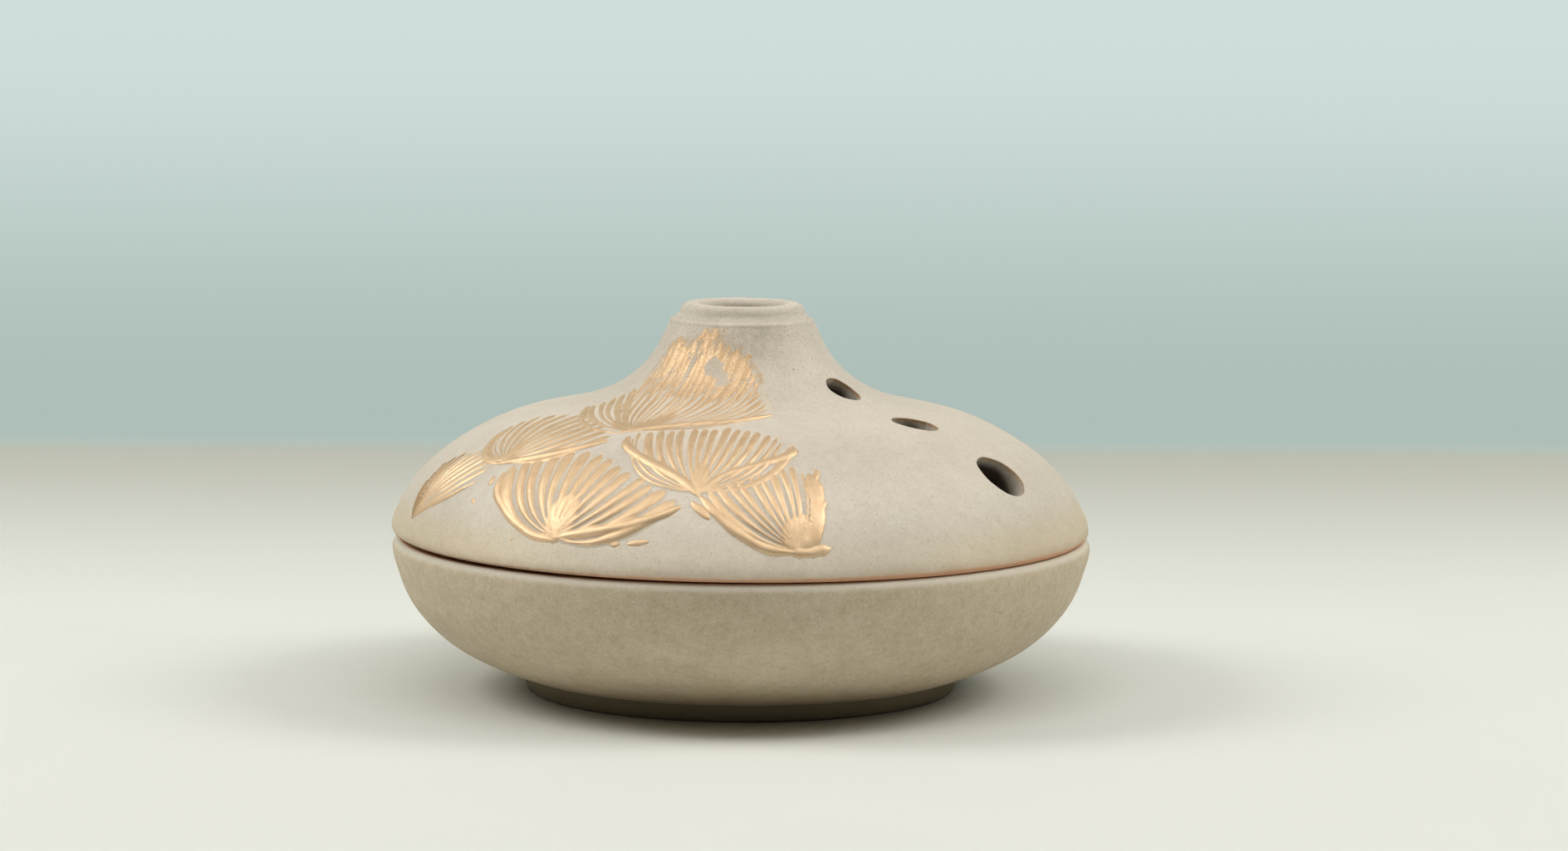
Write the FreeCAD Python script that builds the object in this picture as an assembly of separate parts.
import FreeCAD, Part
import math
import os
from FreeCAD import Placement, Rotation, Vector

# Round two-part stoneware incense burner: a footed bowl, a domed lid with a
# short stepped chimney and three smoke vents, a gilt leaf motif on the lid,
# and the loose fittings inside: a heat-resistant fibre mat, a brass coil
# holder with a knurled clamp nut, and a flat incense coil.
#
# Frame: millimetres, +Z up, origin at the centre of the foot's resting plane.
# +X runs towards the vents' side, -Y is the front with the leaf motif.
#
# Outlines are lists of (radius, z). A shaped corner, named ..._CORNER, is the
# start, middle and end of its arc as (radius, z) offsets from the sharp corner.

os.makedirs("parts", exist_ok=True)

# ---------------------------------------------------------------- dimensions
# bowl
BODY_R = 60.0          # largest radius of the bowl
FOOT_R_LOW = 36.05     # foot ring, outer radius just above the table
FOOT_R_TOP = 36.8      # foot ring, outer radius where it meets the belly
FOOT_H = 2.65          # visible height of the foot ring
FOOT_IN_R = 31.6       # inner radius of the foot ring
FOOT_RECESS = 2.2      # depth of the turned recess under the bowl
RECESS_CORNER = [(-0.9, 0.0), (-0.25, -0.25), (0.0, -0.9)]
FOOT_IN_CORNER = [(0.1, 0.5), (0.24, 0.15), (0.6, 0.0)]
FOOT_OUT_CORNER = [(-0.75, 0.0), (-0.2, 0.19), (0.0, 0.65)]
RIM_WIDEST_Z = 24.9    # height of the bowl's largest radius
RIM_Z = 26.3           # top of the bowl's rim
RIM_IN_R = 55.8        # inner wall of the rim above the ledge
RIM_IN_ROUND = 0.5
LEDGE_Z = 23.3         # ledge that carries the lid's locating flange
LEDGE_IN_R = 52.6      # inner radius of that ledge
LEDGE_ROUND = 0.4
FLOOR_Z = 6.5          # inside floor of the bowl
FLOOR_R = 33.0         # radius of the flat part of that floor
BELLY = [(42.95, 4.82), (47.39, 6.91), (50.85, 9.09), (53.89, 11.80),
         (56.38, 14.88), (58.12, 18.13), (59.30, 21.65)]
BOWL_INNER = [(52.6, 20.6), (52.15, 17.7), (50.75, 14.9), (48.2, 12.4),
              (45.4, 10.55), (41.4, 8.7), (37.2, 7.25)]

# lid (drawn level, then set down slightly out of level on its ledge)
LID_FACE_Z = 27.0      # underside of the lid's edge
LID_EDGE_R = 59.93     # largest radius of the lid
LID_EDGE_ROUND = 1.2   # rounding of the lid's lower corner
LID_OUTER = [
    (LID_EDGE_R, LID_FACE_Z + LID_EDGE_ROUND),
    (58.95, 31.16), (57.19, 34.44), (54.54, 37.73), (51.17, 40.72),
    (47.17, 43.39), (43.17, 45.56), (39.11, 47.20), (35.01, 48.25),
    (30.99, 49.07), (26.48, 50.24), (22.49, 51.78), (19.37, 53.65),
    (17.16, 55.55), (15.59, 57.39), (14.25, 59.43), (13.01, 62.10)]
LID_EDGE_TANGENT = (0.0, 2.0)    # upward direction of LID_OUTER at its first point
LID_TOP_TANGENT = (-1.0, 2.2)    # and at its last point
STEP_R = 12.35         # outer edge of the step under the chimney lip
STEP_Z = 63.75
STEP_CORNER = [(0.12, -0.45), (-0.06, -0.1), (-0.45, 0.2)]
CREASE_R = 10.95       # foot of the chimney lip
CREASE_Z = 64.75
CREASE_CORNER = [(0.25, -0.15), (0.02, 0.02), (-0.1, 0.3)]
LIP_R = 10.15          # chimney lip at its top
TOP_Z = 66.6           # top of the chimney lip
LIP_CORNER = [(0.12, -0.6), (-0.08, -0.2), (-0.6, 0.0)]
MOUTH_R = 6.77         # chimney bore
MOUTH_ROUND = 0.45
MOUTH_STRAIGHT = 4.1   # straight length of the chimney bore below its rounding
LID_INNER = [(7.75, 60.5), (9.75, 57.6), (11.9, 54.9), (14.7, 52.35),
             (18.6, 49.9), (23.0, 48.0), (27.4, 46.55), (31.4, 45.35),
             (35.3, 44.35), (39.0, 43.1), (42.6, 41.4), (46.3, 38.9),
             (49.4, 35.9), (51.5, 32.6), (52.5, 29.4)]
FLANGE_R = 55.2        # locating flange, outer radius
FLANGE_IN_R = 52.7
FLANGE_WALL_DROP = 0.8   # the flange's straight inner wall starts this far below the face
FLANGE_IN_ROUND = 0.45
FLANGE_OUT_ROUND = 0.5
LID_TILT_X = 0.25      # degrees, -X side of the lid stands higher
LID_TILT_Y = 0.25      # degrees, front of the lid stands higher
LID_SHIFT_X = -0.2     # the lid sits this far off centre in its play
SEAT_GAP = 0.02        # clearance between the flange's lowest point and the ledge

# vents: azimuth (deg), radius on the lid, hole diameter
VENTS = [(-33.0, 20.59, 6.5), (-34.1, 35.33, 8.0), (-32.1, 51.44, 9.5)]
VENT_LEAN = 6.0        # degrees the drill leans outward from the wall's normal
VENT_DEPTH = 9.0       # reach of the drill below the lid's outer surface
VENT_LENGTH = 15.0     # whole length of the drill

# gilt motif: leaf fields in plan, (azimuth deg, radius mm), clear of each other
GILT_LIFT = 0.02       # gap between the lid and the gilt
GILT_T = 0.30
GILT_CUT_Z, GILT_CUT_H = 20.0, 60.0   # foot and height of the prisms that cut the fields
GILT_FIELDS = [
    [(-121.0, 57.7), (-130.0, 56.6), (-137.0, 54.0), (-138.6, 51.4), (-134.5, 48.9),
     (-128.5, 46.9), (-118.7, 46.6), (-108.9, 48.6), (-101.0, 52.4), (-103.5, 54.8),
     (-110.0, 56.6)],
    [(-98.2, 50.2), (-107.0, 46.2), (-115.8, 42.2), (-117.0, 38.9), (-110.5, 36.4),
     (-99.8, 34.8), (-88.4, 35.2), (-78.6, 42.6), (-88.4, 46.0), (-95.0, 48.2)],
    [(-107.7, 32.0), (-120.8, 35.8), (-138.0, 31.8), (-155.0, 27.6), (-151.2, 20.8),
     (-155.2, 17.0), (-150.0, 15.2), (-133.6, 14.3), (-108.0, 13.8), (-92.0, 15.2),
     (-84.6, 17.2), (-80.6, 22.6), (-79.6, 27.0), (-93.0, 30.2)],
    [(-143.6, 48.2), (-152.2, 46.6), (-159.4, 42.0), (-159.6, 36.4), (-149.0, 32.2),
     (-129.6, 36.0), (-122.8, 40.8), (-132.4, 45.3)],
    [(-159.4, 58.4), (-161.0, 57.0), (-163.0, 55.2), (-162.4, 52.0), (-153.2, 48.8),
     (-146.8, 51.0), (-145.2, 52.6), (-150.0, 56.0)],
    [(-80.4, 58.5), (-84.0, 58.5), (-89.0, 56.9), (-93.0, 54.4), (-94.6, 51.6),
     (-93.8, 50.4), (-88.2, 48.2), (-80.4, 46.8), (-76.8, 50.8), (-76.2, 54.2),
     (-77.2, 57.8)],
]

# fibre mat, lying on the bowl's floor
MAT_R, MAT_T, MAT_ROUND = 31.0, 2.4, 0.5

# holder base: a dish with a raised lip, lying on the mat
BASE_R, BASE_T, BASE_LIP = 13.0, 1.2, 0.9
BASE_LIP_W = 1.3       # width of the lip at the dish's floor
BASE_FOOT_CORNER = [(-0.4, 0.0), (-0.1, 0.12), (0.0, 0.4)]
BASE_LIP_CORNER = [(0.0, -0.3), (-0.3, 0.0), (-0.6, -0.3)]
BASE_Z = FLOOR_Z + MAT_T
DISH_Z = BASE_Z + BASE_T

# holder post: a tenon through the base, a collar on it and a slotted shank
TENON_R = 1.6
POST_R = 2.0
POST_ROUND = 0.45
POST_TOP_Z = 22.4
COLLAR_R, COLLAR_H, COLLAR_CHAMFER = 2.9, 2.2, 0.3
COLLAR_TOP_Z = DISH_Z + COLLAR_H
SLOT_W, SLOT_Z = 2.8, 16.7              # the slot runs along X, open at the top
SLOT_CUT_LENGTH, SLOT_CUT_H = 10.0, 20.0

# clamp nut
NUT_R, NUT_H, NUT_CHAMFER = 4.3, 3.6, 0.4
NUT_CLEAR = 0.05       # radial gap around the post
NUT_LIFT = 0.05        # gap above the collar
KNURLS, KNURL_R = 28, 0.27
KNURL_OUT = 0.06       # the grooves' axes lie this far outside the nut
KNURL_CUT_DROP, KNURL_CUT_LENGTH = 5.0, 20.0

# incense coil: the rope crosses the post, then winds outward as a spiral
COIL_R = 1.15          # radius of the incense rope
COIL_Z = 18.1
COIL_IN, COIL_OUT, COIL_PITCH = 5.1, 26.2, 4.2
COIL_START, COIL_STEP = 48.0, 12.0      # degrees: first point of the spiral, spacing
COIL_LEAD = [(-1.7, 0.0), (0.0, 0.0), (1.9, 0.03), (3.3, 0.5), (4.2, 1.6), (4.62, 3.0)]  # x, y


# ------------------------------------------------------------------- helpers
def outward(solid):
    # a solid built inside out has a negative volume
    if solid.Volume < 0:
        solid.reverse()
    return solid


def shifted(point, offset):
    return point[0] + offset[0], point[1] + offset[1]


def in_section(point):
    return Vector(point[0], 0.0, point[1])


class Profile:
    """Half section in the XZ plane; each edge starts where the last one ended."""

    def __init__(self, start):
        self.start = self.end = start
        self.edges = []

    def add(self, curve, end):
        self.edges.append(curve.toShape())
        self.end = end

    def line(self, *points):
        for point in points:
            # a corner or the closing line may begin right at the last point
            if math.dist(self.end, point) > 1e-6:
                self.add(Part.LineSegment(in_section(self.end), in_section(point)), point)

    def corner(self, corner, start, middle, end):
        """Line to the corner's start, then an arc; the last three are offsets."""
        self.line(shifted(corner, start))
        middle, end = shifted(corner, middle), shifted(corner, end)
        self.add(Part.Arc(in_section(self.end), in_section(middle), in_section(end)), end)

    def round_corner(self, corner, start, end):
        """A square corner rounded by a quarter circle."""
        inset = 1 - math.sqrt(0.5)
        middle = ((start[0] + end[0]) * inset, (start[1] + end[1]) * inset)
        self.corner(corner, start, middle, end)

    def spline(self, points, start_tangent, end_tangent):
        curve = Part.BSplineCurve()
        curve.interpolate(Points=[in_section(point) for point in [self.end] + points],
                          InitialTangent=in_section(start_tangent),
                          FinalTangent=in_section(end_tangent))
        self.add(curve, points[-1])

    def revolve(self):
        self.line(self.start)
        face = Part.Face(Part.Wire(self.edges))
        return outward(face.revolve(Vector(0, 0, 0), Vector(0, 0, 1), 360))


def lid_place(shape):
    # level lid -> resting position: tipped about two axes, shifted in its play
    tip_front = Rotation(Vector(1, 0, 0), -LID_TILT_Y)
    tip = tip_front.multiply(Rotation(Vector(0, 1, 0), LID_TILT_X))
    pivot = Vector(0, 0, LID_FACE_Z)
    base = pivot - tip.multVec(pivot) + Vector(LID_SHIFT_X, 0, 0)
    placed = shape.copy()
    placed.transformShape(Placement(base, tip).toMatrix())
    return placed


# ---------------------------------------------------------------------- bowl
def make_bowl():
    section = Profile((0, FOOT_RECESS))
    section.corner((FOOT_IN_R, FOOT_RECESS), *RECESS_CORNER)
    section.corner((FOOT_IN_R, 0), *FOOT_IN_CORNER)
    section.corner((FOOT_R_LOW, 0), *FOOT_OUT_CORNER)
    section.line((FOOT_R_TOP, FOOT_H))
    section.spline(BELLY + [(BODY_R, RIM_WIDEST_Z)],
                   start_tangent=(6.0, 2.1), end_tangent=(0.0, 3.0))
    rim_round = RIM_Z - RIM_WIDEST_Z
    section.round_corner((BODY_R, RIM_Z), (0, -rim_round), (-rim_round, 0))
    section.round_corner((RIM_IN_R, RIM_Z), (RIM_IN_ROUND, 0), (0, -RIM_IN_ROUND))
    section.line((RIM_IN_R, LEDGE_Z))
    section.round_corner((LEDGE_IN_R, LEDGE_Z), (LEDGE_ROUND, 0), (0, -LEDGE_ROUND))
    section.spline(BOWL_INNER + [(FLOOR_R, FLOOR_Z)],
                   start_tangent=(0.0, -2.0), end_tangent=(-4.0, 0.0))
    section.line((0, FLOOR_Z))
    return section.revolve()


# ----------------------------------------------------------------------- lid
def lid_surface_at(radius):
    """Height and outward normal of the lid's outline, taken as straight segments."""
    points = sorted(LID_OUTER)
    for (r0, z0), (r1, z1) in zip(points, points[1:]):
        if r0 <= radius <= r1:
            slope = (z1 - z0) / (r1 - r0)
            return z0 + (radius - r0) * slope, Vector(-slope, 0, 1).normalize()
    raise ValueError("radius off the lid")


def vent_tool(azimuth, radius, diameter):
    z, normal = lid_surface_at(radius)
    lean = Rotation(Vector(0, 1, 0), VENT_LEAN)
    spin = Rotation(Vector(0, 0, 1), azimuth)
    axis = spin.multVec(lean.multVec(normal))
    start = spin.multVec(Vector(radius, 0, z)) - axis * VENT_DEPTH
    return Part.makeCylinder(diameter / 2, VENT_LENGTH, start, axis)


def make_lid():
    # the flange is as long as it takes for its lowest point to reach the ledge
    tilt = math.radians(math.hypot(LID_TILT_X, LID_TILT_Y))
    flange_z = LEDGE_Z + SEAT_GAP + FLANGE_R * math.sin(tilt)
    section = Profile((LID_EDGE_R - LID_EDGE_ROUND, LID_FACE_Z))
    section.round_corner((LID_EDGE_R, LID_FACE_Z), (-LID_EDGE_ROUND, 0), (0, LID_EDGE_ROUND))
    section.spline(LID_OUTER[1:], LID_EDGE_TANGENT, LID_TOP_TANGENT)
    section.corner((STEP_R, STEP_Z), *STEP_CORNER)
    section.corner((CREASE_R, CREASE_Z), *CREASE_CORNER)
    section.corner((LIP_R, TOP_Z), *LIP_CORNER)
    section.round_corner((MOUTH_R, TOP_Z), (MOUTH_ROUND, 0), (0, -MOUTH_ROUND))
    section.line((MOUTH_R, TOP_Z - MOUTH_ROUND - MOUTH_STRAIGHT))
    section.spline(LID_INNER + [(FLANGE_IN_R, LID_FACE_Z - FLANGE_WALL_DROP)],
                   start_tangent=(0.0, -1.0), end_tangent=(0.0, -2.0))
    section.round_corner((FLANGE_IN_R, flange_z), (0, FLANGE_IN_ROUND), (FLANGE_IN_ROUND, 0))
    section.round_corner((FLANGE_R, flange_z), (-FLANGE_OUT_ROUND, 0), (0, FLANGE_OUT_ROUND))
    section.line((FLANGE_R, LID_FACE_Z))
    lid = section.revolve()
    for vent in VENTS:
        lid = lid.cut(vent_tool(*vent))
    return lid.Solids[0]


# ---------------------------------------------------------------- gilt motif
def lid_outline_pushed(distance):
    """The lid's outer points moved outward, square to the line through their neighbours."""
    pushed = []
    last = len(LID_OUTER) - 1
    for i, (radius, z) in enumerate(LID_OUTER):
        before, after = LID_OUTER[max(0, i - 1)], LID_OUTER[min(last, i + 1)]
        run, rise = after[0] - before[0], after[1] - before[1]
        if i == 0:
            run, rise = 0.0, 1.0    # the lid's edge is upright
        length = math.hypot(run, rise)
        pushed.append((radius + rise / length * distance, z - run / length * distance))
    return pushed


def make_gilt():
    # one thin skin just outside the lid, cut into leaf-shaped fields
    inner = lid_outline_pushed(GILT_LIFT)
    outer = lid_outline_pushed(GILT_LIFT + GILT_T)
    section = Profile(inner[0])
    section.spline(inner[1:], LID_EDGE_TANGENT, LID_TOP_TANGENT)
    section.line(outer[-1])
    section.spline(outer[-2::-1],
                   start_tangent=(-LID_TOP_TANGENT[0], -LID_TOP_TANGENT[1]),
                   end_tangent=(-LID_EDGE_TANGENT[0], -LID_EDGE_TANGENT[1]))
    skin = section.revolve()
    leaves = []
    for field in GILT_FIELDS:
        points = []
        for azimuth, radius in field:
            angle = math.radians(azimuth)
            points.append(Vector(radius * math.cos(angle), radius * math.sin(angle), GILT_CUT_Z))
        outline = Part.makePolygon(points + [points[0]])
        prism = Part.Face(outline).extrude(Vector(0, 0, GILT_CUT_H))
        leaves += skin.common(prism).Solids
    return Part.makeCompound(leaves)


# ------------------------------------------------------------------ fittings
def make_mat():
    section = Profile((0, FLOOR_Z))
    section.round_corner((MAT_R, FLOOR_Z), (-MAT_ROUND, 0), (0, MAT_ROUND))
    section.round_corner((MAT_R, BASE_Z), (0, -MAT_ROUND), (-MAT_ROUND, 0))
    section.line((0, BASE_Z))
    return section.revolve()


def make_base():
    section = Profile((TENON_R, BASE_Z))
    section.corner((BASE_R, BASE_Z), *BASE_FOOT_CORNER)
    section.corner((BASE_R, DISH_Z + BASE_LIP), *BASE_LIP_CORNER)
    section.line((BASE_R - BASE_LIP_W, DISH_Z), (TENON_R, DISH_Z))
    return section.revolve()


def make_post():
    section = Profile((0, BASE_Z))
    section.line((TENON_R, BASE_Z), (TENON_R, DISH_Z), (COLLAR_R, DISH_Z),
                 (COLLAR_R, COLLAR_TOP_Z - COLLAR_CHAMFER),
                 (COLLAR_R - COLLAR_CHAMFER, COLLAR_TOP_Z), (POST_R, COLLAR_TOP_Z))
    section.round_corner((POST_R, POST_TOP_Z), (0, -POST_ROUND), (-POST_ROUND, 0))
    section.line((0, POST_TOP_Z))
    slot = Part.makeBox(SLOT_CUT_LENGTH, SLOT_W, SLOT_CUT_H,
                        Vector(-SLOT_CUT_LENGTH / 2, -SLOT_W / 2, SLOT_Z))
    return section.revolve().cut(slot).Solids[0]


def make_nut():
    bore = POST_R + NUT_CLEAR
    low = COLLAR_TOP_Z + NUT_LIFT
    high = low + NUT_H
    section = Profile((bore, low))
    section.line((NUT_R - NUT_CHAMFER, low), (NUT_R, low + NUT_CHAMFER),
                 (NUT_R, high - NUT_CHAMFER), (NUT_R - NUT_CHAMFER, high), (bore, high))
    grooves = []
    for i in range(KNURLS):
        angle = 2 * math.pi * i / KNURLS
        radius = NUT_R + KNURL_OUT
        foot = Vector(radius * math.cos(angle), radius * math.sin(angle), low - KNURL_CUT_DROP)
        grooves.append(Part.makeCylinder(KNURL_R, KNURL_CUT_LENGTH, foot))
    return section.revolve().cut(Part.makeCompound(grooves)).Solids[0]


def make_coil():
    points = [Vector(x, y, COIL_Z) for x, y in COIL_LEAD]
    first = math.radians(COIL_START)
    last = 2 * math.pi * (COIL_OUT - COIL_IN) / COIL_PITCH
    steps = int((last - first) / math.radians(COIL_STEP))
    for i in range(steps + 1):
        angle = first + (last - first) * i / steps
        radius = COIL_IN + COIL_PITCH * angle / (2 * math.pi)
        points.append(Vector(radius * math.cos(angle), radius * math.sin(angle), COIL_Z))
    curve = Part.BSplineCurve()
    curve.interpolate(points)
    rope_end = Part.Circle(points[0], Vector(1, 0, 0), COIL_R)
    pipe = Part.BRepOffsetAPI.MakePipeShell(Part.Wire([curve.toShape()]))
    pipe.setBiNormalMode(Vector(0, 0, 1))
    pipe.add(Part.Wire([rope_end.toShape()]))
    pipe.build()
    pipe.makeSolid()
    return outward(pipe.shape())


# -------------------------------------------------------------------- export
pieces = {
    "bowl": make_bowl(),
    "lid": lid_place(make_lid()),
    "gilt_motif": lid_place(make_gilt()),
    "fibre_mat": make_mat(),
    "holder_base": make_base(),
    "holder_post": make_post(),
    "holder_clamp_nut": make_nut(),
    "incense_coil": make_coil(),
}
for name, shape in pieces.items():
    shape.exportStep("parts/%s.step" % name)
